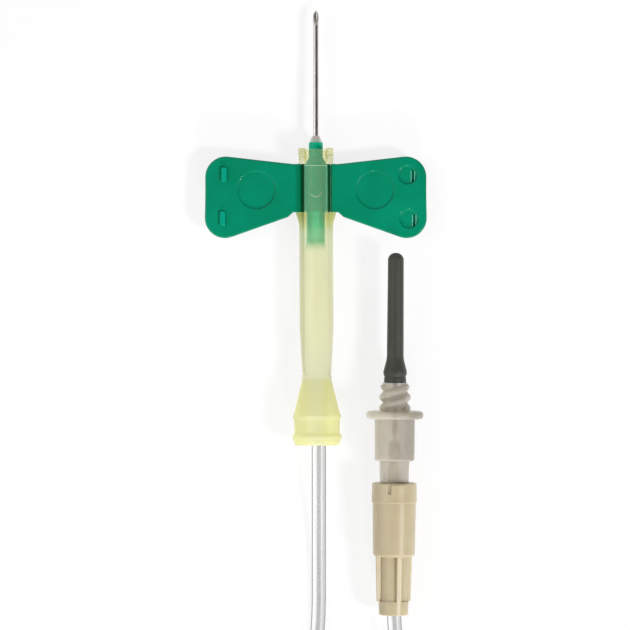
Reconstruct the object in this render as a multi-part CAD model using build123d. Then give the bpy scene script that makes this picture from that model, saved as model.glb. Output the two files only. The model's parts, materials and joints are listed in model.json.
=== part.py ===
# Winged blood collection set, millimetres. A short steel needle is bonded into a hub with two
# folding wings, and a slotted safety shield slides forward over the needle. Soft tubing runs
# back through the shield to a luer hub that holds a screw-in tube adapter with a rubber sleeve.
# +Y is the way the needle points, +Z is up, and the set lies on the plane z = 0.
import os
from math import atan, atan2, cos, degrees, hypot, pi, radians, sin, tan
from build123d import *

# Fits and joints between pieces
bond_gap = 0.02          # glued or bonded fits, on the radius
slide_gap = 0.07         # hub in the shield's bore, on the radius
hinge_gap = 0.10         # wing knuckle to hub web
luer_gap = 0.02          # male taper in female taper, on the radius

# Needle
needle_r = 0.41
needle_lumen_r = 0.257
needle_tip = 32.42
needle_rear = 5.0
bevel_length = 2.3
lancet_angle = 34.0      # extra slope of the two side grinds
lancet_turn = 38.0

# Hub
nose_front = 12.6
nose_r = 1.05
nose_rear = 10.4
nose_round = 0.12
block_front = 9.4
block_rear = 2.21
block_round = 0.1
block_run_out = 0.5      # cone from the block down to the barrel
barrel_r = 1.375
barrel_rear_r = 1.32
barrel_rear = -3.1
barrel_round = 0.2
tube_socket_depth = 3.0
web_thickness = 0.5
web_root = 0.3           # how far the web is sunk in the block

# Adhesive bead round the needle's root
bead_length = 1.02
bead_base_r = 0.96
bead_tip_r = 0.53

# Wings
wing_level = 0.15        # height of the wings' middle plane over the needle's axis
wing_thickness = 0.8
hinge_x = 2.6
wing_straight_x = 3.35   # the root stays parallel as far as here
wing_front_tip_x = 16.54
wing_rear_tip_x = 16.7
wing_front_rise = 1.5    # how far the front edge gains by the tip
wing_rear_drop = 5.15    # how far the rear edge gains by the tip
wing_rear_step = (0.8, 0.72)
wing_step_r = 0.8
front_corner_r = 3.05
rear_corner_r = 3.0
tip_hollow = 0.16
wing_edge_r = 0.28
disc_x = 8.82
disc_y = 5.51
disc_r = 2.8
disc_depth = 0.2
disc_floor_r = 0.08
disc_rim_r = 0.14
latch_front = (13.66, 7.8)
latch_rear = (13.86, 1.25)
peg_width = 0.92
peg_length = 2.32
peg_height = 0.46
peg_corner_r = 0.3
peg_draft = 14.0
peg_top_r = 0.12
dimple_r = 1.43
dimple_depth = 0.32
dimple_floor_r = 0.26
dimple_rim_r = 0.1
slit_offset = (0.78, -0.25)  # from the dimple's middle
slit_width = 0.45
slit_length = 1.85
slit_depth = 0.26
gate_mark = (15.85, -1.67)   # where the runner was cut off, a shallow bite in the corner
gate_mark_r = 0.8

# Safety shield
shield_front = 11.48
front_r = 2.62
front_round = 0.15
body_r = 2.57
taper_start = -15.3
taper_round = 45.0
waist = -22.05
waist_length = 0.6
waist_r = 2.18
waist_round = 0.8
block_r = 1.58
bore_r = block_r + slide_gap
tail_bore_r = 1.5
tail_bore_start = -22.8
tail_bore_run_in = 0.5
shield_rear = -32.5
rear_round = 0.62
rear_bore_round = 0.2
ring_two_back = 1.32     # from the shield's rear end
ring_two_r = 3.71
ring_one_back = 4.34
ring_one_r = 3.61
tail_r = 3.39
rear_r = 3.46
ring_half = 0.6          # half length of a ring's foot
ring_round = 0.3
shield_lean = 0.257      # degrees, the play in the hub's fit seen from above
strip_half = 1.77        # half width of the top strip
strip_underside = 1.1
slot_floor = -0.45
slot_rear = -22.15
horn_length = 1.34
horn_stand = 0.3
horn_inner = 1.5
horn_top = 0.55
horn_bottom = -1.3
lip_r = 3.05
lip_front = 9.4
lip_rear = 0.47
lip_ramp = 1.78
lip_lead = 1.0           # run of the lip's front slope
lip_bottom = -1.5
pad_place = (0.0, 5.26)  # moulding pad on the strip
pad_r = 0.87
pad_rise = 0.06

# Tubing
tube_r = 1.065
coil_centre = (5.9, -76.0)
coil_mean_r = 10.25
coil_lanes = 2           # turns side by side and turns on top of each other
coil_round = 1.0
lead_start_run = 12.0    # how far back along the hub's axis the lead's second point lies
lead_points = [(0.43, -23.5, 3.53), (0.46, -35.2, 3.78), (0.46, -47.5, 1.6),
               (0.45, -62.0, tube_r), (-1.9, -70.2, tube_r), (-4.6, -77.0, tube_r)]
return_start_run = 7.6   # how far behind the socket's floor the return's second point lies
return_points = [(13.0, -68.9, 3.3), (16.9, -76.4, 3.195)]

# Tube adapter, along its own axis from the flange's rear face
flange_r = 4.24
flange_thickness = 1.12
flange_round = 0.5
thread_root_r = 1.81
thread_length = 4.24
spigot_r = 1.1
spigot_length = 1.5
adapter_barrel_r = 2.985
adapter_barrel_end_r = 2.955
adapter_barrel_length = 6.25
adapter_barrel_round = 0.35
luer_large_r = 2.225
luer_length = 7.5
luer_slope = 0.03        # a 6 per cent taper on the diameter
luer_tip_round = 0.15
luer_passage_r = 1.0
passage_throat = 1.0     # runs of the narrow and the widening stretch behind the needle
rear_needle_r = 0.36
rear_needle_lumen_r = 0.22
rear_needle_back = -2.0
rear_needle_tip = 22.6
rear_bevel_length = 1.6
rear_bead_height = 0.6
rear_bead_gap = 0.05     # between the bead and the sleeve's bore
rear_bead_top = 0.06     # wall of the bead at its top

# Rubber sleeve over the adapter's needle
sleeve_top = 24.63
sleeve_top_r = 1.18
sleeve_dome = 0.93       # share of the top radius that is rounded
sleeve_dome_start = 1.5
sleeve_low_r = 1.255
sleeve_low = 8.95
sleeve_low_round = 4.0
sleeve_bead = 6.85
sleeve_bead_half = 0.2
sleeve_bead_r = 1.74
sleeve_bead_round = 0.3
sleeve_groove = 6.22
sleeve_groove_half = 0.22
sleeve_groove_r = 1.58
sleeve_foot_r = 1.64
sleeve_foot_round = 0.1
sleeve_bore_r = 0.6
sleeve_bore_round = 0.3
sleeve_cap = 0.75

# Female luer hub
hub_mouth = -9.52
collar_r = 3.36
collar_mouth_r = 3.31
collar_length = 2.92
collar_mouth_round = 0.2
collar_rear_round = 0.12
hub_body_r = 3.215
hub_body_end_r = 3.11
hub_body_end = -20.45
hub_shoulder_r = 0.5
core_r = 2.05
rib_end = -27.1
rib_r = 2.76
rib_end_r = 2.58
rib_width = 0.6
rib_count = 4
rib_turn = 17.0
rib_sink = 0.2           # how far a rib is sunk in the core
end_collar_r = 2.23
end_collar_rear_r = 2.17
hub_rear = -29.15
hub_rear_round = 0.12
hub_passage_r = 0.8
hub_socket_depth = 5.0
luer_run_out = 0.9       # free depth behind the male luer's end
notch_width = 0.58
notch_depth = 1.55
notch_cut = 0.25
notch_turn = -14.0
lug_width = 1.7
lug_length = 1.27
lug_rise = 0.06
lug_turn = 7.0

# Where the two halves lie
adapter_place = (11.73, -28.47)
adapter_lean = 0.36      # degrees, seen from above
adapter_rise = 1.0       # degrees, from the luer hub up to the sleeve

reach = 2 * (needle_tip - shield_rear)  # cuts go right through


def turned(*corners):
    """A solid of revolution about Y; a corner is (radius, y) or (radius, y, rounding)."""
    face = make_face(Polyline(*[(c[0], c[1]) for c in corners], close=True))
    for corner in corners:
        if len(corner) == 3:
            spot = Vector(corner[0], corner[1], 0)
            vertex = min(face.vertices(), key=lambda v: (Vector(*v) - spot).length)
            face = fillet(vertex, corner[2])
    return revolve(face, Axis.Y, 360)


def block(low, high):
    """A box from its lowest to its highest corner."""
    size = [b - a for a, b in zip(low, high)]
    return Pos(*low) * Box(*size, align=(Align.MIN, Align.MIN, Align.MIN))


def ground_tip(y, r, length):
    """The material that a primary bevel and two side grinds take off a needle's tip."""
    point = Pos(0, y, -r)
    blank = Box(4 * r, 8 * length, 4 * length, align=(Align.CENTER, Align.CENTER, Align.MIN))
    slope = degrees(atan(2 * r / length))
    cut = point * Rot(X=-slope) * blank
    for turn in (-lancet_turn, lancet_turn):
        cut += point * Rot(Y=turn) * Rot(X=-lancet_angle) * blank
    return cut


def cannula(rear, tip, r, lumen_r, length):
    pipe = turned((lumen_r, rear), (r, rear), (r, tip), (lumen_r, tip))
    return pipe - ground_tip(tip, r, length)


def needle_cannula():
    return cannula(needle_rear, needle_tip, needle_r, needle_lumen_r, bevel_length)


def needle_adhesive():
    inner = needle_r + bond_gap
    top = nose_front + bead_length
    return turned((inner, nose_front), (bead_base_r, nose_front), (bead_tip_r, top), (inner, top))


def wing_hub():
    socket_floor = barrel_rear + tube_socket_depth
    needle_bore_r = needle_r + bond_gap
    socket_r = tube_r + bond_gap
    hub = turned(
        (needle_bore_r, nose_front), (nose_r, nose_front, nose_round), (nose_r, nose_rear),
        (block_r, block_front, block_round), (block_r, block_rear), (barrel_r, block_rear - block_run_out),
        (barrel_rear_r, barrel_rear, barrel_round), (socket_r, barrel_rear),
        (socket_r, socket_floor), (needle_lumen_r, socket_floor),
        (needle_lumen_r, needle_rear), (needle_bore_r, needle_rear),
    )
    web_end = hinge_x - wing_thickness / 2 - hinge_gap
    half = web_thickness / 2
    web = block((-web_end, block_rear, wing_level - half), (web_end, block_front, wing_level + half))
    room_r = block_r - web_root
    return hub + (web - turned((0, -reach), (room_r, -reach), (room_r, reach), (0, reach)))


def recessed(wing, x, y, r, depth, floor_r, rim_r):
    """The wing with a round recess in its top, with a rounded floor edge and a rolled rim."""
    top = wing_level + wing_thickness / 2
    bowl = Cylinder(r, depth, align=(Align.CENTER, Align.CENTER, Align.MAX))
    wing -= Pos(x, y, top) * fillet(bowl.edges().group_by(Axis.Z)[0], floor_r)
    spot = Vector(x, y, top)
    rim = [e for e in wing.edges().filter_by(GeomType.CIRCLE)
           if (e.arc_center - spot).length < 0.001 and abs(e.radius - r) < 0.001]
    return fillet(rim, rim_r)


def wing_blank():
    """One wing without its latch details, on the +X side."""
    run = wing_front_tip_x - wing_straight_x
    front = block_front + wing_front_rise
    rear = block_rear - wing_rear_drop
    step = (wing_straight_x + wing_rear_step[0], block_rear - wing_rear_step[1])
    front_tip, rear_tip = (wing_front_tip_x, front), (wing_rear_tip_x, rear)
    middle = ((wing_front_tip_x + wing_rear_tip_x) / 2 - tip_hollow, (front + rear) / 2)
    outline = Polyline(rear_tip, step, (wing_straight_x, block_rear),
                       (hinge_x, block_rear), (hinge_x, block_front),
                       (wing_straight_x, block_front), front_tip)
    face = make_face(outline + ThreePointArc(front_tip, middle, rear_tip))
    for corner, radius in ((front_tip, front_corner_r), (rear_tip, rear_corner_r),
                           (step, wing_step_r), ((wing_straight_x, block_front), run / 4)):
        spot = Vector(*corner, 0)
        face = fillet(min(face.vertices(), key=lambda v: (Vector(*v) - spot).length), radius)
    half = wing_thickness / 2
    plate = extrude(Pos(0, 0, wing_level - half) * face, wing_thickness, dir=(0, 0, 1))
    rims = [e for e in plate.edges() if abs(abs(e.center().Z - wing_level) - half) < 0.001
            and e.center().X > hinge_x + 0.01]
    plate = fillet(rims, wing_edge_r)
    length = block_front - block_rear
    knuckle = Pos(hinge_x, (block_front + block_rear) / 2, wing_level) * Rot(X=90) * Cylinder(half, length)
    return recessed(plate + knuckle, disc_x, disc_y, disc_r, disc_depth, disc_floor_r, disc_rim_r)


def left_wing():
    """The wing with two raised pegs."""
    top = wing_level + wing_thickness / 2
    wing = wing_blank()
    for spot in (latch_front, latch_rear):
        peg = extrude(RectangleRounded(peg_width, peg_length, peg_corner_r), peg_height, taper=peg_draft)
        peg = fillet(peg.edges().group_by(Axis.Z)[-1], peg_top_r)
        wing += Pos(*spot, top) * peg
    return mirror(wing, Plane.YZ)


def right_wing():
    """The wing with two round dimples, each with a slit for the other wing's peg."""
    top = wing_level + wing_thickness / 2
    wing = wing_blank()
    slit = Box(slit_width, slit_length, dimple_depth + slit_depth,
               align=(Align.CENTER, Align.CENTER, Align.MAX))
    slit = Pos(*slit_offset, 0) * fillet(slit.edges().filter_by(Axis.Z), slit_width * 0.4)
    for spot in (latch_front, latch_rear):
        wing = recessed(wing, *spot, dimple_r, dimple_depth, dimple_floor_r, dimple_rim_r)
        wing -= Pos(*spot, top) * slit
    return wing - Pos(*gate_mark, wing_level) * Cylinder(gate_mark_r, 2 * wing_thickness)


def safety_shield():
    ring_one, ring_two = shield_rear + ring_one_back, shield_rear + ring_two_back
    shell = turned(
        (bore_r, shield_front), (front_r, shield_front, front_round), (body_r, block_front),
        (body_r, taper_start, taper_round), (waist_r, waist, waist_round),
        (waist_r, waist - waist_length, waist_round), (tail_r, ring_one + ring_half),
        (ring_one_r, ring_one, ring_round), (tail_r, ring_one - ring_half),
        (tail_r, ring_two + ring_half), (ring_two_r, ring_two, ring_round),
        (rear_r, ring_two - ring_half), (rear_r, shield_rear, rear_round),
        (tail_bore_r, shield_rear, rear_bore_round), (tail_bore_r, tail_bore_start),
        (bore_r, tail_bore_start + tail_bore_run_in),
    )
    horn_rear = shield_front + horn_stand - horn_length
    shell -= block((-reach, slot_rear, slot_floor), (reach, reach, strip_underside))
    for side in (-1, 1):
        low, high = sorted((side * strip_half, side * reach))
        shell -= block((low, slot_rear, slot_floor), (high, reach, reach))
    collar = turned((bore_r, horn_rear), (front_r, horn_rear), (front_r, shield_front + horn_stand),
                    (bore_r, shield_front + horn_stand))
    ledge = turned((waist_r, lip_rear), (body_r, lip_rear), (lip_r, lip_rear + lip_ramp),
                   (lip_r, lip_front - lip_lead), (body_r, lip_front), (waist_r, lip_front))
    for side in (-1, 1):
        low, high = sorted((side * horn_inner, side * reach))
        shell += collar & block((low, -reach, horn_bottom), (high, reach, horn_top))
        shell += ledge & block((low, -reach, lip_bottom), (high, reach, slot_floor))
    room = turned((waist_r, -reach), (body_r + pad_rise, -reach), (body_r + pad_rise, reach), (waist_r, reach))
    pad = Pos(*pad_place, waist_r) * Cylinder(pad_r, body_r, align=(Align.CENTER, Align.CENTER, Align.MIN))
    return shell + (pad & room)


def luer_adapter_body():
    """Flanged body with a thread core, a needle spigot and a male luer taper."""
    luer_end = -adapter_barrel_length - luer_length
    luer_tip_r = luer_large_r - luer_slope * luer_length
    core_top = flange_thickness + thread_length
    spigot_top = core_top + spigot_length
    needle_bore_r = rear_needle_r + bond_gap
    return turned(
        (luer_passage_r, luer_end), (luer_tip_r, luer_end, luer_tip_round),
        (luer_large_r, -adapter_barrel_length),
        (adapter_barrel_end_r, -adapter_barrel_length, adapter_barrel_round),
        (adapter_barrel_r, 0), (flange_r, 0, flange_round), (flange_r, flange_thickness, flange_round),
        (thread_root_r, flange_thickness), (thread_root_r, core_top), (spigot_r, core_top),
        (spigot_r, spigot_top), (needle_bore_r, spigot_top), (needle_bore_r, rear_needle_back),
        (rear_needle_lumen_r, rear_needle_back),
        (rear_needle_lumen_r, rear_needle_back - passage_throat),
        (luer_passage_r, rear_needle_back - 2 * passage_throat),
    )


def rear_needle():
    return cannula(rear_needle_back, rear_needle_tip, rear_needle_r, rear_needle_lumen_r, rear_bevel_length)


def rear_needle_adhesive():
    base = flange_thickness + thread_length + spigot_length
    inner = rear_needle_r + bond_gap
    top = base + rear_bead_height
    return turned((inner, base), (sleeve_bore_r - rear_bead_gap, base), (inner + rear_bead_top, top), (inner, top))


def rubber_sleeve():
    foot = flange_thickness + thread_length
    seat = foot + spigot_length + bond_gap
    socket_r = spigot_r + bond_gap
    inner_top = sleeve_top - sleeve_cap
    return turned(
        (socket_r, foot), (sleeve_foot_r, foot, sleeve_foot_round),
        (sleeve_foot_r, sleeve_groove - sleeve_groove_half), (sleeve_groove_r, sleeve_groove),
        (sleeve_bead_r, sleeve_bead - sleeve_bead_half),
        (sleeve_bead_r, sleeve_bead + sleeve_bead_half, sleeve_bead_round),
        (sleeve_low_r, sleeve_low, sleeve_low_round), (sleeve_top_r, sleeve_top - sleeve_dome_start),
        (sleeve_top_r, sleeve_top, sleeve_top_r * sleeve_dome), (0, sleeve_top), (0, inner_top),
        (sleeve_bore_r, inner_top, sleeve_bore_round), (sleeve_bore_r, seat), (socket_r, seat),
    )


def female_luer_hub():
    """Luer hub with a notched mouth collar, four ribs and a socket for the tubing."""
    def taper_r(y):
        return luer_large_r + luer_gap - luer_slope * (-adapter_barrel_length - y)

    luer_floor = -adapter_barrel_length - luer_length - luer_run_out
    collar_rear = hub_mouth - collar_length
    tube_floor = hub_rear + hub_socket_depth
    socket_r = tube_r + bond_gap
    hub = turned(
        (taper_r(hub_mouth), hub_mouth), (collar_mouth_r, hub_mouth, collar_mouth_round),
        (collar_r, collar_rear, collar_rear_round),
        (hub_body_r, collar_rear), (hub_body_end_r, hub_body_end, hub_shoulder_r),
        (core_r, hub_body_end), (core_r, rib_end), (end_collar_r, rib_end),
        (end_collar_rear_r, hub_rear, hub_rear_round), (socket_r, hub_rear), (socket_r, tube_floor),
        (hub_passage_r, tube_floor), (hub_passage_r, luer_floor), (taper_r(luer_floor), luer_floor),
    )
    fin = Polyline((0, hub_body_end + rib_sink), (rib_r, hub_body_end + rib_sink), (rib_end_r, rib_end),
                   (core_r, rib_end - rib_sink), (0, rib_end - rib_sink), close=True)
    fin = extrude(make_face(fin), rib_width / 2, both=True)
    room = turned((0, -reach), (core_r - rib_sink, -reach), (core_r - rib_sink, reach), (0, reach))
    for number in range(rib_count):
        hub += Rot(Y=rib_turn + number * 360 / rib_count) * (fin - room)
    lug_r = collar_r + lug_rise
    lug_ring = turned((hub_body_r, hub_mouth - lug_length), (lug_r, hub_mouth - lug_length),
                      (lug_r, hub_mouth - collar_mouth_round), (hub_body_r, hub_mouth - collar_mouth_round))
    lug = lug_ring & block((-lug_width / 2, -reach, 0), (lug_width / 2, reach, reach))
    notch = block((-notch_width / 2, hub_mouth - notch_depth, collar_r - notch_cut),
                  (notch_width / 2, reach, reach))
    for half_turn in (0, 180):
        hub += Rot(Y=lug_turn + half_turn) * lug
        hub -= Rot(Y=notch_turn + half_turn) * notch
    return hub


def wing_set_place():
    """The shield rests on its tail ring and on the underside of its front edge."""
    ring_two = shield_rear + ring_two_back
    slope = atan2(ring_two_r - front_r, shield_front - ring_two)
    height = (ring_two_r + ring_two * tan(slope)) / hypot(1, tan(slope))
    return Pos(0, 0, height) * Rot(X=-degrees(slope))


def shield_place():
    """The shield leans in the hub's fit, about its front end."""
    front = Pos(0, shield_front, 0)
    return wing_set_place() * front * Rot(Z=shield_lean) * front.inverse()


def adapter_set_place():
    """The adapter rests on its flange's rim, and the tubing holds the luer hub's rear up."""
    slope = radians(adapter_rise)
    height = flange_r * cos(slope) - flange_thickness / 2 * sin(slope)
    return Pos(*adapter_place, height) * Rot(Z=-adapter_lean) * Rot(X=adapter_rise)


def along(place, y):
    """The point at y on the axis of a placed half."""
    return tuple((place * Pos(0, y, 0)).position)


def tube_along(name, points):
    """A run of tubing: straight runs joined by arcs as large as the runs allow."""
    legs = [Vector(*b) - Vector(*a) for a, b in zip(points, points[1:])]
    radii = []
    for before, after in zip(legs, legs[1:]):
        half_turn = radians(before.get_angle(after)) / 2
        radii.append(0.45 * min(before.length, after.length) / tan(half_turn))
    path = FilletPolyline(*points, radius=radii)
    section = Plane(origin=points[0], z_dir=legs[0]) * Circle(tube_r)
    run = sweep(section, path=path)
    share = run.volume / (pi * tube_r**2 * path.length)
    print(name, "length", round(path.length, 2), "volume share", round(share, 4),
          "radii", [round(r, 1) for r in radii])
    return run


def tubing_coil():
    """The put-away turns as one ring of their outer shape."""
    half_width = coil_lanes * tube_r
    inner, outer = coil_mean_r - half_width, coil_mean_r + half_width
    height = 2 * coil_lanes * tube_r
    centre = Pos(*coil_centre, 0)
    stand = (Align.CENTER, Align.CENTER, Align.MIN)
    ring = Cylinder(outer, height, align=stand) - Cylinder(inner, height, align=stand)
    rims = ring.edges().filter_by(GeomType.CIRCLE).group_by(Axis.Z)[-1]
    return centre * fillet(rims, coil_round)


def tubing_lead(coil):
    socket_floor = barrel_rear + tube_socket_depth
    start = [along(wing_set_place(), socket_floor), along(wing_set_place(), -lead_start_run)]
    return tube_along("tubing_lead", start + lead_points) - coil


def tubing_return(coil):
    tube_floor = hub_rear + hub_socket_depth
    start = [along(adapter_set_place(), tube_floor), along(adapter_set_place(), tube_floor - return_start_run)]
    return tube_along("tubing_return", start + return_points) - coil


def main():
    os.makedirs("parts", exist_ok=True)
    near, far = wing_set_place(), adapter_set_place()
    coil = tubing_coil()
    pieces = {
        "needle_cannula": near * needle_cannula(),
        "needle_adhesive": near * needle_adhesive(),
        "wing_hub": near * wing_hub(),
        "left_wing": near * left_wing(),
        "right_wing": near * right_wing(),
        "safety_shield": shield_place() * safety_shield(),
        "tubing_lead": tubing_lead(coil),
        "tubing_coil": coil,
        "tubing_return": tubing_return(coil),
        "female_luer_hub": far * female_luer_hub(),
        "luer_adapter_body": far * luer_adapter_body(),
        "rear_needle": far * rear_needle(),
        "rear_needle_adhesive": far * rear_needle_adhesive(),
        "rubber_sleeve": far * rubber_sleeve(),
    }
    for name, shape in pieces.items():
        export_step(shape, f"parts/{name}.step")


main()
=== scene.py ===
import json
import math
import bpy
import bmesh
from mathutils import Matrix, Vector


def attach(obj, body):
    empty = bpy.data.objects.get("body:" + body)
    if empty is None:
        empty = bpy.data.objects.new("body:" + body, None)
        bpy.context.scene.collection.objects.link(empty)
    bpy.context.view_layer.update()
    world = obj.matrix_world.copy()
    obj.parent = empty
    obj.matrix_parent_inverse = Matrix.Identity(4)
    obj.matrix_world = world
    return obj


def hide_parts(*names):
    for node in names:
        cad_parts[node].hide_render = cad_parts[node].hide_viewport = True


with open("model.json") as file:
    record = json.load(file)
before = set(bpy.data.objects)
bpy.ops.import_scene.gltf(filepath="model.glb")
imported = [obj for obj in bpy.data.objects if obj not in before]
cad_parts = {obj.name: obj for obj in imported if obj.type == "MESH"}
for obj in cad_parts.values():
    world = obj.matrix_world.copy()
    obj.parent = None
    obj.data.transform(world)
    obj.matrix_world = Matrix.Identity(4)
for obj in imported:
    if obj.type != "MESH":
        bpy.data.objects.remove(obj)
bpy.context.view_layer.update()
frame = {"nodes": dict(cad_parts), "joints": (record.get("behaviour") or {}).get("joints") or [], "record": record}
print("frame loaded:", len(frame["nodes"]), "nodes")

mm = 0.001
scene = bpy.context.scene
scene.view_settings.view_transform = "Standard"
nodes = frame["nodes"]
joints = {joint["name"]: joint for joint in frame["joints"]}
mounts = {mount["name"]: mount for mount in frame["record"]["mounts"]}


# The two halves lie a little tilted, so each has a frame of its own: +Y along its axis
def axisFrame(axis, point, localPoint):
    along = Vector(axis).normalized()
    across = along.cross(Vector((0, 0, 1))).normalized()
    turn = Matrix((across, along, across.cross(along))).transposed().to_4x4()
    return Matrix.Translation(Vector(point)) @ turn @ Matrix.Translation(-Vector(localPoint))


# Camera: straight down on the set, a long lens as in a catalogue photograph
view = {"centreX": -0.12 * mm, "centreY": -13.07 * mm, "height": 524 * mm, "lens": 200,
        "sensor": 36, "near": 10 * mm, "far": 10000 * mm}
camera = bpy.data.objects.new("camera", bpy.data.cameras.new("camera"))
scene.collection.objects.link(camera)
camera.data.lens = view["lens"]
camera.data.sensor_width = view["sensor"]
camera.data.clip_start, camera.data.clip_end = view["near"], view["far"]
camera.location = (view["centreX"], view["centreY"], view["height"])
scene.camera = camera


def srgb(colour, alpha=1.0):  # hex sRGB to linear
    values = [int(colour[i:i + 2], 16) / 255 for i in (1, 3, 5)]
    return [v / 12.92 if v <= 0.04045 else ((v + 0.055) / 1.055) ** 2.4 for v in values] + [alpha]


def addNode(tree, kind, settings=None, links=None, **sockets):
    node = tree.nodes.new(kind)
    for name, value in (settings or {}).items():
        setattr(node, name, value)
    for name, value in sockets.items():
        node.inputs[name.replace("_", " ")].default_value = value
    for name, source in (links or {}).items():
        tree.links.new(source, node.inputs[name])
    return node


plastic = {"coatRoughness": 0.08, "lightReach": (1.0, 0.95, 0.8)}  # blue light goes in least
noiseRange = (0.3, 0.7)  # nearly all of a noise's values lie between these


def newMaterial(name, base, roughness, ior=1.5, shine=0.5, subsurface=0.0, reach=0.6,
                metallic=0.0, sheen=0.0, coat=0.0):
    material = bpy.data.materials.new(name)
    material.use_nodes = True
    tree = material.node_tree
    shader = tree.nodes["Principled BSDF"]
    shader.inputs["Base Color"].default_value = srgb(base)
    shader.inputs["Roughness"].default_value = roughness
    shader.inputs["Metallic"].default_value = metallic
    if metallic == 0:
        shader.inputs["IOR"].default_value = ior
        shader.inputs["Specular IOR Level"].default_value = shine
    if subsurface:
        shader.inputs["Subsurface Weight"].default_value = subsurface
        shader.inputs["Subsurface Scale"].default_value = reach * mm
        shader.inputs["Subsurface Radius"].default_value = plastic["lightReach"]
    if coat:
        shader.inputs["Coat Weight"].default_value = coat
        shader.inputs["Coat Roughness"].default_value = plastic["coatRoughness"]
    if sheen:
        shader.inputs["Sheen Weight"].default_value = sheen
    return material, tree, shader


def objectPoint(tree):
    return addNode(tree, "ShaderNodeTexCoord").outputs["Object"]


def objectAxes(tree):
    return addNode(tree, "ShaderNodeSeparateXYZ", links={0: objectPoint(tree)}).outputs


def mixColours(tree, factor, low, high):  # low and high are hex colours or sockets
    mix = addNode(tree, "ShaderNodeMix", {"data_type": "RGBA"}, {"Factor": factor})
    for slot, colour in ((6, low), (7, high)):
        if isinstance(colour, str):
            mix.inputs[slot].default_value = srgb(colour)
        else:
            tree.links.new(colour, mix.inputs[slot])
    return mix.outputs[2]


def ramp(tree, source, start, end, low=0.0, high=1.0):
    node = addNode(tree, "ShaderNodeMapRange", {"interpolation_type": "SMOOTHSTEP"},
                   {"Value": source}, From_Min=start, From_Max=end, To_Min=low, To_Max=high)
    return node.outputs["Result"]


def mathNode(tree, kind, a, b=0.0):  # a and b are numbers or sockets
    node = addNode(tree, "ShaderNodeMath", {"operation": kind})
    for slot, value in ((0, a), (1, b)):
        if isinstance(value, (int, float)):
            node.inputs[slot].default_value = value
        else:
            tree.links.new(value, node.inputs[slot])
    return node.outputs[0]


def noise(tree, point, size, detail=2.0):
    return addNode(tree, "ShaderNodeTexNoise", links={"Vector": point}, Scale=1 / size,
                   Detail=detail).outputs["Fac"]


def drift(tree, size):  # from 0 to 1 and back, slowly, over a surface
    return ramp(tree, noise(tree, objectPoint(tree), size), *noiseRange)


def baseColour(tree, shader, colour):
    tree.links.new(colour, shader.inputs["Base Color"])


def bumpNoise(tree, shader, size, height):
    bump = addNode(tree, "ShaderNodeBump",
                   links={"Height": noise(tree, objectPoint(tree), size, detail=3.0)},
                   Strength=1.0, Distance=height)
    tree.links.new(bump.outputs["Normal"], shader.inputs["Normal"])


def turnedAway(tree):  # 0 where a surface faces the eye, 1 at its outline
    return addNode(tree, "ShaderNodeLayerWeight", Blend=0.5).outputs["Facing"]


def seeThrough(tree, shader, cover, tint="#ffffff"):  # cover: how much of the wall itself shows
    film = addNode(tree, "ShaderNodeBsdfTransparent")
    if isinstance(tint, str):
        film.inputs["Color"].default_value = srgb(tint)
    else:
        tree.links.new(tint, film.inputs["Color"])
    mix = addNode(tree, "ShaderNodeMixShader", links={1: film.outputs[0], 2: shader.outputs[0]})
    if isinstance(cover, float):
        mix.inputs[0].default_value = cover
    else:
        tree.links.new(cover, mix.inputs[0])
    tree.links.new(mix.outputs[0], tree.nodes["Material Output"].inputs["Surface"])


def setMaterial(obj, material):
    obj.data.materials.clear()
    obj.data.materials.append(material)


def newPiece(name, mesh):
    obj = bpy.data.objects.new(name, mesh)
    scene.collection.objects.link(obj)
    return obj


def smooth(obj, angle):
    for face in obj.data.polygons:
        face.use_smooth = True
    obj.data.set_sharp_from_angle(angle=math.radians(angle))


def curveThrough(name, kind, points):
    curve = bpy.data.curves.new(name, "CURVE")
    curve.dimensions = "3D"
    spline = curve.splines.new(kind)
    spline.points.add(len(points) - 1)
    for point, place in zip(spline.points, points):
        point.co = (*place, 1)
    return curve, spline


def takeMesh(holder, name):  # what a holder's curve or modifier makes; the holder itself goes
    bpy.context.view_layer.update()
    graph = bpy.context.evaluated_depsgraph_get()
    mesh = bpy.data.meshes.new_from_object(holder.evaluated_get(graph))
    holder.modifiers.clear()
    bpy.data.objects.remove(holder)
    mesh.name = name
    return mesh


def meshOf(name, bm):
    bmesh.ops.recalc_face_normals(bm, faces=bm.faces)
    mesh = bpy.data.meshes.new(name)
    bm.to_mesh(mesh)
    bm.free()
    return mesh


# Plasticised PVC of the wings: injection moulded, satin, with the slight waves that a mould leaves,
# and a painted highlight: the tops of the pegs are painted paler
wingLook = {"low": "#008461", "high": "#008e6b", "driftSize": 6 * mm, "peg": "#00a082",
            "pegFrom": 3.65 * mm, "pegFull": 3.82 * mm, "rise": 0.02555}
greenPvc, tree, shader = newMaterial("mouldedGreenPvc", "#008a68", roughness=0.3, ior=1.53,
                                     shine=0.1, coat=0.15)
level = addNode(tree, "ShaderNodeVectorMath", {"operation": "DOT_PRODUCT"},
                {0: objectPoint(tree)})
level.inputs[1].default_value = (0, wingLook["rise"], 1)  # height above the wings' tilted plane
# painted highlight: a paler colour on the pegs' tops
onPaintedPegHighlight = ramp(tree, level.outputs["Value"], wingLook["pegFrom"], wingLook["pegFull"])
plate = mixColours(tree, drift(tree, wingLook["driftSize"]), wingLook["low"], wingLook["high"])
baseColour(tree, shader, mixColours(tree, onPaintedPegHighlight, plate, wingLook["peg"]))
bumpNoise(tree, shader, size=1.6 * mm, height=0.012 * mm)
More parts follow.
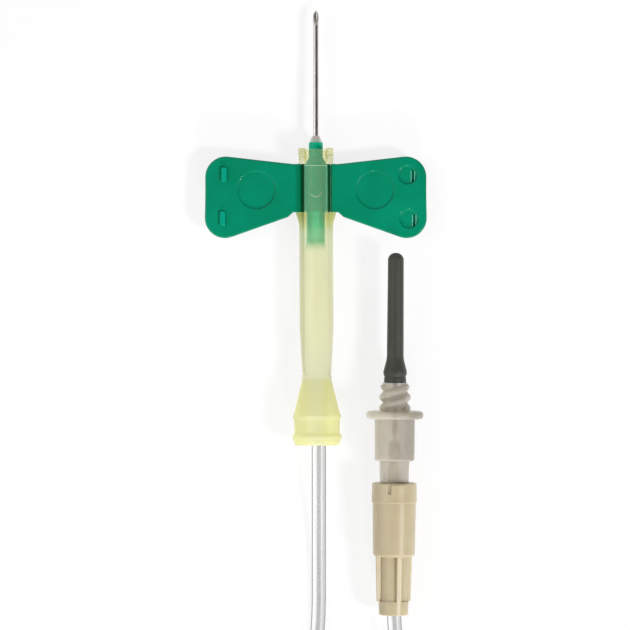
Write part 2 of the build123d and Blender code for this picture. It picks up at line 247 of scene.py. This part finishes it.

# The same PVC in the hub, with painted light: painted paler than the wings, and palest at its far
# end, to make up for the shade of the milky shield over it
hubLook = {"nose": "#00b287", "middle": "#08b29a", "end": "#1cccae", "paintedShadeBand": "#004a28",
           "noseAt": 12.0 * mm, "middleAt": 10.5 * mm, "lowerAt": 2.5 * mm, "endAt": -0.5 * mm,
           "paintedShadeFrom": 1.62 * mm, "paintedShadeTo": 1.78 * mm}
hubPaintedLightPvc, tree, shader = newMaterial("mouldedGreenPvcHub", hubLook["middle"], roughness=0.3,
                                    ior=1.53, shine=0.1, coat=0.15)
place = objectAxes(tree)
atEnd = ramp(tree, place["Y"], hubLook["endAt"], hubLook["lowerAt"], 1.0, 0.0)
atNose = ramp(tree, place["Y"], hubLook["middleAt"], hubLook["noseAt"])
inPaintedShadeBand = ramp(tree, mathNode(tree, "ABSOLUTE", place["X"]), hubLook["paintedShadeFrom"],
                hubLook["paintedShadeTo"])
# painted light: paler towards the far end and at the nose
hubBase = mixColours(tree, atEnd, hubLook["middle"], hubLook["end"])
hubBase = mixColours(tree, atNose, hubBase, hubLook["nose"])
hubBase = mixColours(tree, inPaintedShadeBand, hubBase, hubLook["paintedShadeBand"])  # painted shade: a dark band on the web beside the shield's strip
baseColour(tree, shader, hubBase)
bumpNoise(tree, shader, size=1.6 * mm, height=0.012 * mm)

# The same PVC in the living hinges, thin and in a groove: painted shade makes them the darkest of the green
hingePaintedShadePvc, tree, shader = newMaterial("mouldedGreenPvcHinge", "#005f3c", roughness=0.34, ior=1.53,
                                     shine=0.1)
bumpNoise(tree, shader, size=0.8 * mm, height=0.008 * mm)

# Natural polypropylene of the shield: a milky wall that tints what is behind it yellow, more so
# in the thick tail, and that closes up where it turns away from the eye
shieldLook = {
    "body": "#fefef2", "horn": "#f7f5d6", "slotTint": "#f3f1cc", "tail": "#fffef4",
    "tailSide": "#fefcda", "wall": "#fffdd2", "slotWall": "#d2d28a", "tailMiddle": "#fffdca",
    "tailWall": "#fffcb8",
    "tailStart": -21.6 * mm, "tailFull": -23.6 * mm, "hubEnd": -1.2 * mm, "tubeStart": -4.2 * mm,
    "slotFade": -1.6 * mm, "pastSlot": 2.0 * mm, "slotEnd": 2.5 * mm, "hornFrom": 8.8 * mm,
    "hornFull": 11.2 * mm, "hubSide": 1.15 * mm, "pastHub": 1.6 * mm,
    "middleTo": 0.6 * mm, "wallFrom": 1.8 * mm, "sideFrom": 0.02, "sideFull": 0.45,
    "outlineFrom": 0.2, "outlineFull": 0.95,
    "overHub": 0.075, "overHubEnd": 0.15, "overTube": 0.62, "inHorn": 0.22, "atOutline": 0.5,
    "shadow": 0.28}
milkyPolypropylene, tree, shader = newMaterial("milkyPolypropylene", shieldLook["wall"],
                                               roughness=0.22, ior=1.49, shine=0.4,
                                               subsurface=1.0, reach=1.6)
facing = turnedAway(tree)
place = objectAxes(tree)
aside = mathNode(tree, "ABSOLUTE", place["X"])
offHub = ramp(tree, aside, shieldLook["hubSide"], shieldLook["pastHub"])
inTail = ramp(tree, place["Y"], shieldLook["tailFull"], shieldLook["tailStart"], 1.0, 0.0)
besideHub = mathNode(tree, "MULTIPLY", offHub,
                     ramp(tree, place["Y"], shieldLook["pastSlot"], shieldLook["slotEnd"],
                          1.0, 0.0))
nearSlot = mathNode(tree, "MULTIPLY", besideHub,
                    ramp(tree, place["Y"], shieldLook["slotFade"], shieldLook["pastSlot"]))
inHorn = mathNode(tree, "MULTIPLY", offHub,
                  ramp(tree, place["Y"], shieldLook["hornFrom"], shieldLook["hornFull"]))
tailTint = mixColours(tree, ramp(tree, facing, shieldLook["sideFrom"], shieldLook["sideFull"]),
                      shieldLook["tail"], shieldLook["tailSide"])
tint = mixColours(tree, inHorn, shieldLook["body"], shieldLook["horn"])
tint = mixColours(tree, nearSlot, tint, shieldLook["slotTint"])
tint = mixColours(tree, inTail, tint, tailTint)
wall = mixColours(tree, nearSlot, shieldLook["wall"], shieldLook["slotWall"])
tailWall = mixColours(tree, ramp(tree, aside, shieldLook["middleTo"], shieldLook["wallFrom"]),
                      shieldLook["tailMiddle"], shieldLook["tailWall"])
baseColour(tree, shader, mixColours(tree, inTail, wall, tailWall))
bumpNoise(tree, shader, size=0.7 * mm, height=0.006 * mm)

# A hazy wall shows what touches it and hides what lies deeper: the hub shows, the tubing hardly
pastHub = ramp(tree, place["Y"], shieldLook["tubeStart"], shieldLook["hubEnd"], 1.0, 0.0)
deep = mathNode(tree, "MAXIMUM", besideHub, pastHub)
haze = ramp(tree, deep, 0.0, 1.0, shieldLook["overHub"], shieldLook["overTube"])
for thicker in (
    ramp(tree, place["Y"], shieldLook["slotFade"], shieldLook["slotEnd"],
         shieldLook["overHubEnd"], 0.0),
    mathNode(tree, "MULTIPLY", inHorn, shieldLook["inHorn"]),
    ramp(tree, facing, shieldLook["outlineFrom"], shieldLook["outlineFull"], 0.0,
         shieldLook["atOutline"]),
):
    haze = mathNode(tree, "MAXIMUM", haze, thicker)
toLamp = addNode(tree, "ShaderNodeLightPath").outputs["Is Shadow Ray"]
overWings = ramp(tree, place["Y"], shieldLook["pastSlot"], shieldLook["slotEnd"], 0.0,
                 shieldLook["shadow"])
haze = mathNode(tree, "ADD", haze, mathNode(tree, "MULTIPLY", toLamp, overWings))
seeThrough(tree, shader, haze, tint)

# The same polypropylene where an edge is fine and sharp, painted paler as a painted highlight
milkyPaintedHighlight, tree, shader = newMaterial("milkyPolypropyleneEdge", "#f0fff2", roughness=0.15,
                                      ior=1.49)
seeThrough(tree, shader, cover=0.5)
# Thin lips of the green PVC, glossy, and painted pale as a painted highlight
greenPaintedHighlight, tree, shader = newMaterial("mouldedGreenPvcLip", "#6fd0b4", roughness=0.15, ior=1.53,
                                     coat=0.5)

# Drawn stainless tube: bright, with fine streaks along the needle
steelLook = {"streak": 0.08 * mm, "along": 0.02, "smooth": 0.14, "rough": 0.3}
drawnStainless, tree, shader = newMaterial("drawnStainless", "#dedad4", roughness=0.2,
                                           metallic=1.0)
stretched = addNode(tree, "ShaderNodeMapping", links={"Vector": objectPoint(tree)},
                    Scale=(1, steelLook["along"], 1)).outputs["Vector"]
streaks = ramp(tree, noise(tree, stretched, steelLook["streak"]), *noiseRange,
               steelLook["smooth"], steelLook["rough"])
tree.links.new(streaks, shader.inputs["Roughness"])

# Ultraviolet-cured acrylic adhesive: clear and glossy, greenish where the hub shows through it
glueLook = {"overHub": "#b9dcc8", "free": "#dccfc8", "hubTo": 12.6 * mm, "freeFrom": 13.3 * mm}
curedAcrylic, tree, shader = newMaterial("curedAcrylic", "#d8d2c8", roughness=0.1, ior=1.5)
offNose = ramp(tree, objectAxes(tree)["Y"], glueLook["hubTo"], glueLook["freeFrom"])
baseColour(tree, shader, mixColours(tree, offNose, glueLook["overHub"], glueLook["free"]))
seeThrough(tree, shader, cover=0.62)

# Tan ABS luer hub: rigid, moulded, soft satin, a little light goes into it
tanLook = {"low": "#bfb192", "high": "#c5b898", "driftSize": 4 * mm}
tanAbs, tree, shader = newMaterial("mouldedTanAbs", "#c0b394", roughness=0.34, ior=1.52,
                                   shine=0.4, subsurface=0.6, reach=0.8)
baseColour(tree, shader, mixColours(tree, drift(tree, tanLook["driftSize"]), tanLook["low"],
                                    tanLook["high"]))
bumpNoise(tree, shader, size=0.9 * mm, height=0.008 * mm)

# Natural translucent polypropylene adapter: cloudy, with painted shade, darker towards its right
# and lighter towards its left, and painted light, paler in the thread and the taper
adapterLook = {
    "farLow": "#d3cabc", "farHigh": "#dbd3c8", "nearLow": "#9c9589", "nearHigh": "#a49d92",
    "endFar": "#e0d8cc", "endNear": "#bcb4a8", "behind": "#f8f6f0", "driftSize": 3 * mm,
    "left": 9.0 * mm, "right": 14.6 * mm, "taperFrom": -34.6 * mm, "taperFull": -35.0 * mm,
    "threadFrom": -27.6 * mm, "threadFull": -27.0 * mm, "cover": 0.6, "taperCover": 0.5}
cloudyPolypropylene, tree, shader = newMaterial("cloudyPolypropylene", "#bfb6a9",
                                                roughness=0.28, ior=1.49, shine=0.3,
                                                subsurface=1.0, reach=2.4)
cloudy = drift(tree, adapterLook["driftSize"])
place = objectAxes(tree)
# painted shade: darker to the right, lighter to the left
paintedShadeRightward = addNode(tree, "ShaderNodeMapRange", links={"Value": place["X"]},
                    From_Min=adapterLook["left"],
                    From_Max=adapterLook["right"]).outputs["Result"]
bodyPaintedShade = mixColours(tree, paintedShadeRightward,
                   mixColours(tree, cloudy, adapterLook["farLow"], adapterLook["farHigh"]),
                   mixColours(tree, cloudy, adapterLook["nearLow"], adapterLook["nearHigh"]))
endPaintedLight = mixColours(tree, paintedShadeRightward, adapterLook["endFar"], adapterLook["endNear"])
# painted light: the taper and the thread are painted paler
inTaper = ramp(tree, place["Y"], adapterLook["taperFrom"], adapterLook["taperFull"])
onThread = ramp(tree, place["Y"], adapterLook["threadFrom"], adapterLook["threadFull"])
baseColour(tree, shader, mixColours(tree, mathNode(tree, "MAXIMUM", inTaper, onThread), bodyPaintedShade,
                                    endPaintedLight))
bumpNoise(tree, shader, size=1.0 * mm, height=0.008 * mm)
seeThrough(tree, shader, ramp(tree, inTaper, 0.0, 1.0, adapterLook["cover"],
                              adapterLook["taperCover"]), adapterLook["behind"])

# Polyisoprene sleeve: matt black rubber that has bloomed to grey
rubberLook = {"low": "#3a3b34", "high": "#42433c", "driftSize": 2.5 * mm}
bloomedRubber, tree, shader = newMaterial("bloomedRubber", "#3e3f38", roughness=0.5, ior=1.52,
                                          shine=0.3, sheen=0.08)
baseColour(tree, shader, mixColours(tree, drift(tree, rubberLook["driftSize"]),
                                    rubberLook["low"], rubberLook["high"]))
bumpNoise(tree, shader, size=0.25 * mm, height=0.004 * mm)

for name, material in {
    "needle_cannula": drawnStainless, "rear_needle": drawnStainless,
    "needle_adhesive": curedAcrylic, "rear_needle_adhesive": curedAcrylic,
    "wing_hub": hubPaintedLightPvc, "left_wing": greenPvc, "right_wing": greenPvc,
    "safety_shield": milkyPolypropylene, "female_luer_hub": tanAbs,
    "luer_adapter_body": cloudyPolypropylene, "rubber_sleeve": bloomedRubber,
}.items():
    setMaterial(nodes[name], material)
print("materials on the moulded pieces")


# Tubing: one length from the hub's socket through the shield, round the put-away turns, to the
# luer hub. Its sizes and the points of its route are in millimetres, its length in metres.
tubing = {"outer": 1.065, "inner": 0.55, "around": 32, "length": 0.315, "turns": 3.5,
          "turnPoints": 14, "coilX": 5.9, "coilY": -76.0, "outerLane": 11.315,
          "innerLane": 9.185, "level": 1.065, "upper": 3.195,
          "moveIn": (0.8, 1.2), "moveUp": (1.85, 2.15), "moveOut": (2.8, 3.2),  # in turns
          "order": 3, "resolution": 12}
leadPoints = [(0, -0.1, 2.915), (0, -12.0, 3.219), (0.43, -23.5, 3.53), (0.46, -35.2, 3.78),
              (0.46, -47.5, 1.6), (0.45, -62.0, 1.065), (-1.9, -70.2, 1.065)]
returnPoints = [(13.0, -68.9, 3.3), (11.531, -60.215, 3.676), (11.578, -52.616, 3.808)]


def easeBetween(value, start, end):
    t = min(max((value - start) / (end - start), 0), 1)
    return t * t * (3 - 2 * t)


def coilPoints():
    points = []
    across = tubing["outerLane"] - tubing["innerLane"]
    rise = tubing["upper"] - tubing["level"]
    for step in range(int(tubing["turns"] * tubing["turnPoints"]) + 1):
        done = step / tubing["turnPoints"]  # turns from the left side, anticlockwise
        outward = easeBetween(done, *tubing["moveOut"]) - easeBetween(done, *tubing["moveIn"])
        lane = tubing["outerLane"] + across * outward
        angle = 2 * math.pi * (0.5 + done)
        points.append((tubing["coilX"] + lane * math.cos(angle),
                       tubing["coilY"] + lane * math.sin(angle),
                       tubing["level"] + rise * easeBetween(done, *tubing["moveUp"])))
    return points


def routeLine(points):
    curve, spline = curveThrough("tubingRoute", "NURBS", [[c * mm for c in p] for p in points])
    spline.order_u = tubing["order"]
    spline.use_endpoint_u = True
    spline.resolution_u = tubing["resolution"]
    mesh = takeMesh(newPiece("tubingRoute", curve), "tubingRoute")
    line = [v.co.copy() for v in mesh.vertices]
    bpy.data.curves.remove(curve)
    bpy.data.meshes.remove(mesh)
    return line


def tubeMesh(name, line, outer, inner, around):  # two walls, the bore's with the second material
    bm = bmesh.new()
    angles = [2 * math.pi * k / around for k in range(around)]
    pairs = [(k, (k + 1) % around) for k in range(around)]
    side = Vector((1, 0, 0))
    rings = []
    for i, point in enumerate(line):
        ahead = (line[min(i + 1, len(line) - 1)] - line[max(i - 1, 0)]).normalized()
        side = (side - ahead * side.dot(ahead)).normalized()
        up = ahead.cross(side)
        rings.append([[bm.verts.new(point + (side * math.cos(a) + up * math.sin(a)) * radius)
                       for a in angles] for radius in (outer, inner)])
    for first, second in zip(rings, rings[1:]):
        for wall in (0, 1):
            for k, n in pairs:
                face = bm.faces.new((first[wall][k], first[wall][n],
                                     second[wall][n], second[wall][k]))
                face.material_index = wall
    for ring in (rings[0], rings[-1]):
        for k, n in pairs:
            bm.faces.new((ring[0][k], ring[0][n], ring[1][n], ring[1][k]))
    return newPiece(name, meshOf(name, bm))


# Clear plasticised PVC: nearly unseen face on, with painted shade and reflection: grey where the
# wall turns away from the eye and, on its outside, where it turns to the right, the room's dark side
clearLook = {"outlineFrom": 0.4, "outlineFull": 0.64, "atOutline": 0.85, "rightFrom": 0.15,
             "rightFull": 0.8, "atRight": 0.55}
clearPvc, tree, shader = newMaterial("extrudedClearPvc", "#8f8e91", roughness=0.14, ior=1.53,
                                     shine=0.2)
surface = addNode(tree, "ShaderNodeNewGeometry").outputs
sideways = addNode(tree, "ShaderNodeSeparateXYZ", links={0: surface["Normal"]}).outputs["X"]
outside = mathNode(tree, "SUBTRACT", 1.0, surface["Backfacing"])  # seen from within it is reversed
# painted shade: grey on the outside where the wall turns to the right
toRight = mathNode(tree, "MULTIPLY", ramp(tree, sideways, clearLook["rightFrom"],
                                          clearLook["rightFull"], 0.0, clearLook["atRight"]),
                   outside)
outline = ramp(tree, turnedAway(tree), clearLook["outlineFrom"], clearLook["outlineFull"], 0.0,
               clearLook["atOutline"])
seeThrough(tree, shader, mathNode(tree, "MAXIMUM", outline, toRight))

# The same PVC round the bore, which bends light away: a soft band of painted shade down the middle, grey
boreLook = {"fadeFrom": 0.03, "fadeTo": 0.32, "middle": 0.45, "edge": 0.04}
borePvc, tree, shader = newMaterial("clearPvcBore", "#9b9a9d", roughness=0.25, ior=1.33,
                                    shine=0.1)
seeThrough(tree, shader, ramp(tree, turnedAway(tree), boreLook["fadeFrom"], boreLook["fadeTo"],
                              boreLook["middle"], boreLook["edge"]))

tubeLine = routeLine(leadPoints + coilPoints() + returnPoints)
tube = tubeMesh("clearTubing", tubeLine, tubing["outer"] * mm, tubing["inner"] * mm,
                tubing["around"])
tube.data.materials.append(clearPvc)
tube.data.materials.append(borePvc)
smooth(tube, angle=60)
tubeLength = sum((b - a).length for a, b in zip(tubeLine, tubeLine[1:]))
print("tubing", round(tubeLength * 1000, 1), "mm,", len(tube.data.polygons), "faces")
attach(tube, "hub")
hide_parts("tubing_lead", "tubing_coil", "tubing_return")


# Two-start thread on the adapter's core, as Geometry Nodes: one helix per start, swept with a
# blunt triangle that shrinks into the core at both ends
thread = {"crest": 2.33 * mm, "deep": 0.68 * mm, "crestWidth": 0.34 * mm, "footWidth": 1.85 * mm,
          "rounding": 0.16 * mm, "roundingPoints": 4, "lead": 3.24 * mm, "starts": 2,
          "turns": 1.31, "runOut": 0.16, "least": 0.1, "firstY": 0.782 * mm, "steps": 64,
          "threadMiddle": 3.24 * mm}
adapterPlace = axisFrame(joints["adapter_pull"]["axis"], mounts["tube_holder_thread"]["pos_m"],
                         (0, thread["threadMiddle"], 0))


def threadTree():
    tree = bpy.data.node_groups.new("twoStartThread", "GeometryNodeTree")
    for kind, names in {
        "NodeSocketFloat": ("Crest Radius", "Profile Depth", "Crest Width", "Foot Width",
                            "Rounding", "Lead", "Turns", "Run Out"),
        "NodeSocketInt": ("Starts", "Steps"),
        "NodeSocketMaterial": ("Material",),
    }.items():
        for name in names:
            tree.interface.new_socket(name, in_out="INPUT", socket_type=kind)
    tree.interface.new_socket("Geometry", in_out="OUTPUT", socket_type="NodeSocketGeometry")
    given = addNode(tree, "NodeGroupInput").outputs
    middle = mathNode(tree, "SUBTRACT", given["Crest Radius"],
                      mathNode(tree, "MULTIPLY", given["Profile Depth"], 0.5))
    helix = addNode(tree, "GeometryNodeCurveSpiral", links={
        "Resolution": given["Steps"], "Rotations": given["Turns"], "Start Radius": middle,
        "End Radius": middle, "Height": mathNode(tree, "MULTIPLY", given["Lead"], given["Turns"]),
    }, Reverse=True)  # right-handed
    upright = addNode(tree, "GeometryNodeSetCurveNormal", {"mode": "FREE"},
                      {"Curve": helix.outputs[0]}, Normal=(0, 0, 1))
    profile = addNode(tree, "GeometryNodeCurvePrimitiveQuadrilateral", {"mode": "TRAPEZOID"}, {
        "Height": given["Profile Depth"], "Bottom Width": given["Foot Width"],
        "Top Width": given["Crest Width"]}, Offset=0.0)
    rounded = addNode(tree, "GeometryNodeFilletCurve", {"mode": "POLY"},
                      {"Curve": profile.outputs[0], "Radius": given["Rounding"]},
                      Count=thread["roundingPoints"], Limit_Radius=True)
    along = addNode(tree, "GeometryNodeSplineParameter").outputs["Factor"]
    share = mathNode(tree, "DIVIDE", given["Run Out"], given["Turns"])
    rise = mathNode(tree, "DIVIDE", along, share)
    fall = mathNode(tree, "DIVIDE", mathNode(tree, "SUBTRACT", 1.0, along), share)
    nearest = mathNode(tree, "MINIMUM", mathNode(tree, "MINIMUM", rise, fall), 1.0)
    grown = mathNode(tree, "ADD", mathNode(tree, "MULTIPLY", nearest, 1 - thread["least"]),
                     thread["least"])
    swept = addNode(tree, "GeometryNodeCurveToMesh", links={
        "Curve": upright.outputs[0], "Profile Curve": rounded.outputs[0], "Scale": grown,
    }, Fill_Caps=True)
    spots = addNode(tree, "GeometryNodePoints", links={"Count": given["Starts"]})
    number = addNode(tree, "GeometryNodeInputIndex").outputs[0]
    turnEach = mathNode(tree, "DIVIDE", 2 * math.pi, given["Starts"])
    turn = addNode(tree, "ShaderNodeCombineXYZ",
                   links={"Z": mathNode(tree, "MULTIPLY", number, turnEach)})
    copies = addNode(tree, "GeometryNodeInstanceOnPoints", links={
        "Points": spots.outputs[0], "Instance": swept.outputs[0], "Rotation": turn.outputs[0]})
    real = addNode(tree, "GeometryNodeRealizeInstances", links={0: copies.outputs[0]})
    finished = addNode(tree, "GeometryNodeSetMaterial", links={
        "Geometry": real.outputs[0], "Material": given["Material"]})
    addNode(tree, "NodeGroupOutput", links={0: finished.outputs[0]})
    return tree


def plainMesh(name, tree, values):  # what the tree makes with these inputs, as a mesh of its own
    holder = newPiece(name + "Holder", bpy.data.meshes.new(name + "Holder"))
    modifier = holder.modifiers.new(name, "NODES")
    modifier.node_group = tree
    for item in tree.interface.items_tree:
        if item.in_out == "INPUT":
            modifier[item.identifier] = values[item.name]
    return takeMesh(holder, name)


threadMesh = plainMesh("threadCoils", threadTree(), {
    "Crest Radius": thread["crest"], "Profile Depth": thread["deep"],
    "Crest Width": thread["crestWidth"], "Foot Width": thread["footWidth"],
    "Rounding": thread["rounding"], "Lead": thread["lead"], "Turns": thread["turns"],
    "Run Out": thread["runOut"], "Starts": thread["starts"], "Steps": thread["steps"],
    "Material": cloudyPolypropylene})
# The helix winds about its own Z: that becomes the adapter's Y, and its X becomes Z
ontoAxis = Matrix(((0, 1, 0, 0), (0, 0, 1, thread["firstY"]), (1, 0, 0, 0), (0, 0, 0, 1)))
threadMesh.transform(adapterPlace @ ontoAxis)
threadCoils = newPiece("threadCoils", threadMesh)
smooth(threadCoils, angle=50)
toAdapter = adapterPlace.inverted()
spans = [toAdapter @ v.co for v in threadMesh.vertices]
print("thread", len(threadMesh.polygons), "faces, radius",
      round(max(math.hypot(p.x, p.z) for p in spans) * 1000, 3), "mm, from",
      round(min(p.y for p in spans) * 1000, 2), "to", round(max(p.y for p in spans) * 1000, 2))
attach(threadCoils, "adapter")


# Living hinges: the thin web between the hub and each wing's knuckle
hinge = {"inner": 1.95 * mm, "outer": 2.19 * mm, "front": 9.3 * mm, "rear": 2.31 * mm,
         "level": 0.15 * mm, "half": 0.16 * mm, "axisX": 2.6 * mm, "axisY": 5.805 * mm,
         "soft": 0.05 * mm}
wingPlace = axisFrame(joints["left_wing_fold"]["axis"], joints["right_wing_fold"]["pos_m"],
                      (hinge["axisX"], hinge["axisY"], hinge["level"]))
for side, name in ((-1, "leftHingeWeb"), (1, "rightHingeWeb")):
    bm = bmesh.new()
    bmesh.ops.create_cube(bm, size=1.0)
    width, length = hinge["outer"] - hinge["inner"], hinge["front"] - hinge["rear"]
    for v in bm.verts:
        v.co = (side * ((hinge["outer"] + hinge["inner"]) / 2 + v.co.x * width),
                (hinge["front"] + hinge["rear"]) / 2 + v.co.y * length,
                hinge["level"] + v.co.z * 2 * hinge["half"])
    bmesh.ops.bevel(bm, geom=bm.edges[:], offset=hinge["soft"], segments=2, affect="EDGES")
    mesh = meshOf(name, bm)
    mesh.transform(wingPlace)
    web = newPiece(name, mesh)
    web.data.materials.append(hingePaintedShadePvc)
    smooth(web, angle=40)
    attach(web, "hub")
print("hinge webs")


# Painted highlights: fine raised lines in pale materials where the light catches, the crescent and
# the cross line on the shield's strip, and the thin lips beside the right wing's two slits, whose places are in
# millimetres
lines = {"strip": 2.6 * mm, "ringY": 5.26 * mm, "ring": 0.87 * mm, "arcFrom": 215, "arcStep": 6,
         "arcPoints": 23, "crossY": 9.04 * mm, "crossHalf": 1.66 * mm, "crossSteps": 12,
         "endPaintedLight": 0.035 * mm, "lip": 0.06 * mm, "lipTop": 0.25 * mm, "lipHalf": 0.85 * mm,
         "lips": ((14.18, 7.55), (14.7, 7.55), (14.38, 1.0), (14.9, 1.0)), "roundness": 3}


def wire(name, points, radius, material, body):
    curve = curveThrough(name, "POLY", points)[0]
    curve.bevel_depth, curve.bevel_resolution = radius, lines["roundness"]
    curve.use_fill_caps = True
    mesh = takeMesh(newPiece(name + "Holder", curve), name)
    bpy.data.curves.remove(curve)
    mesh.transform(wingPlace)
    piece = newPiece(name, mesh)
    setMaterial(piece, material)
    smooth(piece, angle=60)
    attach(piece, body)


def onStrip(x, y):
    return (x, y, math.sqrt(lines["strip"] ** 2 - x * x))


# painted highlight: only the lower right of the pad's rim, where the light catches it, is drawn
lowerArc = [math.radians(lines["arcFrom"] + lines["arcStep"] * k)
            for k in range(lines["arcPoints"])]
wire("stripCrescent", [onStrip(lines["ring"] * math.cos(t),
                               lines["ringY"] + lines["ring"] * math.sin(t)) for t in lowerArc],
     lines["endPaintedLight"], milkyPaintedHighlight, "shield")
wire("stripLine", [onStrip(lines["crossHalf"] * (k / lines["crossSteps"] - 1), lines["crossY"])
                   for k in range(2 * lines["crossSteps"] + 1)],
     lines["endPaintedLight"], milkyPaintedHighlight, "shield")
for number, (x, y) in enumerate(lines["lips"]):
    wire("slitLip" + str(number + 1),
         [(x * mm, y * mm + lines["lipHalf"] * k, lines["lipTop"]) for k in (-1, 0, 1)],
         lines["lip"], greenPaintedHighlight, "right_wing")
print("fine raised lines")


# Floor: white paper. The camera, gloss and clear plastic see most of it as plain white, and the
# rest of it takes the set's shadow.
paper = {"half": 1.5, "shadowShare": 0.2}
mesh = bpy.data.meshes.new("floor")
reach = paper["half"]
mesh.from_pydata([(-reach, -reach, 0), (reach, -reach, 0), (reach, reach, 0), (-reach, reach, 0)],
                 [], [(0, 1, 2, 3)])
floor = newPiece("floor", mesh)
whitePaper, tree, shader = newMaterial("whitePaper", "#ffffff", roughness=0.9, shine=0.0)
path = addNode(tree, "ShaderNodeLightPath").outputs
seen = path["Is Camera Ray"]
for name in ("Is Glossy Ray", "Is Transmission Ray"):
    seen = mathNode(tree, "MAXIMUM", seen, path[name])
plainWhite = addNode(tree, "ShaderNodeEmission", Color=srgb("#ffffff"), Strength=1.0)
sheet = addNode(tree, "ShaderNodeMixShader", links={
    0: mathNode(tree, "MULTIPLY", seen, 1 - paper["shadowShare"]), 1: shader.outputs[0],
    2: plainWhite.outputs[0]})
tree.links.new(sheet.outputs[0], tree.nodes["Material Output"].inputs["Surface"])
setMaterial(floor, whitePaper)

# Room: bright to the left, darker to the right and straight up, where the camera hangs, so steel
# and gloss have both to show
room = {"left": 0.92, "right": 0.06, "change": 0.5, "overhead": 0.3, "overheadFrom": 0.8,
        "overheadFull": 0.95}
world = bpy.data.worlds.new("studio")
scene.world = world
world.use_nodes = True
tree = world.node_tree
sky = addNode(tree, "ShaderNodeTexCoord").outputs["Generated"]
heading = addNode(tree, "ShaderNodeSeparateXYZ", links={0: sky}).outputs
strength = mathNode(tree, "MULTIPLY", ramp(tree, heading["X"], -room["change"], room["change"],
                                           room["left"], room["right"]),
                    ramp(tree, heading["Z"], room["overheadFrom"], room["overheadFull"], 1.0,
                         room["overhead"]))
background = tree.nodes["Background"]
background.inputs["Color"].default_value = srgb("#ffffff")
tree.links.new(strength, background.inputs["Strength"])

# Lamps: azimuth anticlockwise from +X and elevation in degrees, distance and size in metres
lampAim = Vector((4 * mm, -13 * mm, 3 * mm))
lamps = {
    "keyRight": {"azimuth": -30, "elevation": 44, "distance": 0.6, "size": (0.1, 0.1),
                 "power": 2.4},
    "frontLow": {"azimuth": -80, "elevation": 24, "distance": 0.6, "size": (0.05, 0.05),
                 "power": 1.1},
    "leftStrip": {"azimuth": 178, "elevation": 44, "distance": 0.5, "size": (0.03, 0.25),
                  "power": 0.22},
}
for name, settings in lamps.items():
    lamp = bpy.data.lights.new(name, "AREA")
    lamp.shape = "RECTANGLE"
    lamp.size, lamp.size_y = settings["size"]
    lamp.energy = settings["power"]
    obj = newPiece(name, lamp)
    around, up = math.radians(settings["azimuth"]), math.radians(settings["elevation"])
    away = Vector((math.cos(up) * math.cos(around), math.cos(up) * math.sin(around), math.sin(up)))
    obj.location = lampAim + away * settings["distance"]
    obj.rotation_euler = away.to_track_quat("Z", "Y").to_euler()
print("floor, room and", len(lamps), "lamps")
